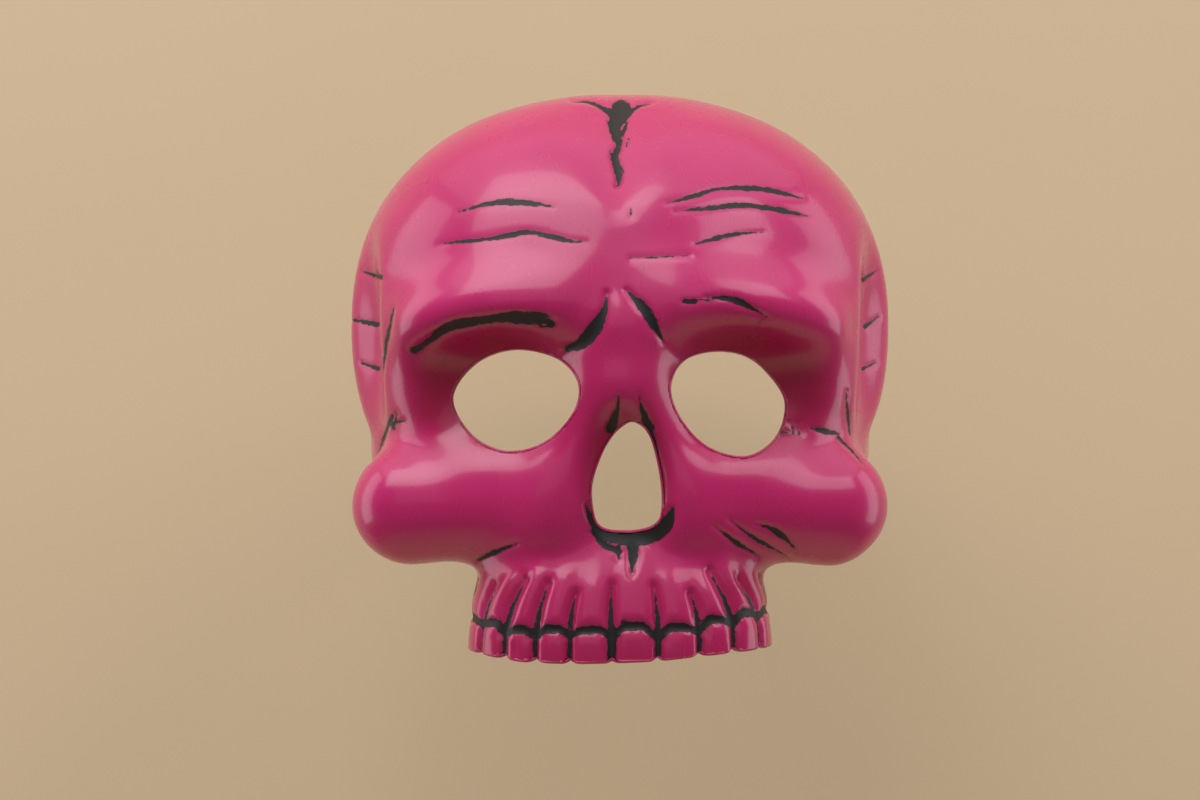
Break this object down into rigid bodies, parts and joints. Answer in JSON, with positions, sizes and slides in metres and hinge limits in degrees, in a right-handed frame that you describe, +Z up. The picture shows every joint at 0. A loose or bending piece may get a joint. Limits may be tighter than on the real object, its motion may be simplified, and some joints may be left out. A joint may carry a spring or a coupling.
{
  "type": "skull half mask",
  "caption": "Skull-shaped moulded half mask without a lower jaw, with eye and nose openings, foam pads inside and an adjustable elastic head strap.",
  "frame": {"origin": "on the mask's mid-plane, level with the centres of the eye openings, under the widest part of the cranium; it is the place of the mount named head", "axes": "+X to the right of someone facing the mask, +Y from its face towards the wearer, +Z up"},
  "size_m": [0.194, 0.2071, 0.199],
  "materials": {
    "painted_latex": "glossy magenta pink lacquer over a moulded latex skin, inked by hand in dark grey",
    "pad_foam": "matt black closed-cell foam",
    "elastic_webbing": "black knitted elastic webbing",
    "plated_wire": "nickel-plated steel wire",
    "nickel_plate": "nickel-plated pressed brass",
    "black_nylon": "moulded black nylon with a fine grain"
  },
  "bodies": {
    "mask": {"skull_shell": "painted_latex", "forehead_pad": "pad_foam", "nose_bridge_pad": "pad_foam", "cheek_pad_left": "pad_foam", "cheek_pad_right": "pad_foam", "rivet_left": "nickel_plate", "rivet_right": "nickel_plate", "rivet_spacer_left": "black_nylon", "rivet_spacer_right": "black_nylon", "rivet_cap_left": "nickel_plate", "rivet_cap_right": "nickel_plate"},
    "strap": {"strap_band": "elastic_webbing", "strap_chape": "elastic_webbing", "strap_ring": "plated_wire", "strap_grommet_left": "nickel_plate", "strap_grommet_right": "nickel_plate"},
    "slider": {"strap_slider": "black_nylon"}
  },
  "joints": [
    {"name": "strap_swing", "type": "hinge", "parent": "mask", "child": "strap", "pos_m": [0, 0.008, 0.034], "axis": [1, 0, 0], "range_deg": [-60, 30]},
    {"name": "slider_adjust", "type": "slide", "parent": "strap", "child": "slider", "axis": [0.3746, 0.9272, 0], "range_m": [-0.01, 0.01]}
  ]
}
